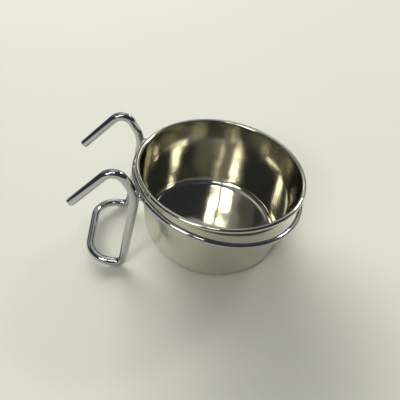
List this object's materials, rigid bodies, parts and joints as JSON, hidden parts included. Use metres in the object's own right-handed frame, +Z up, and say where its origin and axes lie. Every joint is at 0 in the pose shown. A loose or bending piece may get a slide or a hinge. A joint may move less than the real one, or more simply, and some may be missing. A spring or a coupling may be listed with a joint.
{
  "type": "seed cup",
  "caption": "Round steel seed cup with a rolled rim, held loosely in a wire hoop welded to a bent wire hanger with hooks and a spacer loop.",
  "frame": {"origin": "on the table, below the middle of the whole", "axes": "+Z up from the table; the hooks and the loop point to -X and the cup lies to +X; the hanger is mirror symmetric in Y, with left at -Y as seen from the cup"},
  "size_m": [0.1346, 0.1042, 0.0753],
  "materials": {
    "cup_steel": "bright polished stainless steel",
    "hanger_chrome": "bright chrome plate on steel wire",
    "weld_metal": "plated weld metal, slightly dull"
  },
  "bodies": {
    "hanger": {"hanger_wire": "hanger_chrome", "support_ring": "hanger_chrome", "weld_left": "weld_metal", "weld_right": "weld_metal"},
    "cup": {"cup": "cup_steel"}
  },
  "joints": [
    {"name": "cup_lift", "type": "slide", "parent": "hanger", "child": "cup", "axis": [0.1461, 0, 0.9893], "range_m": [0, 0.06]}
  ]
}
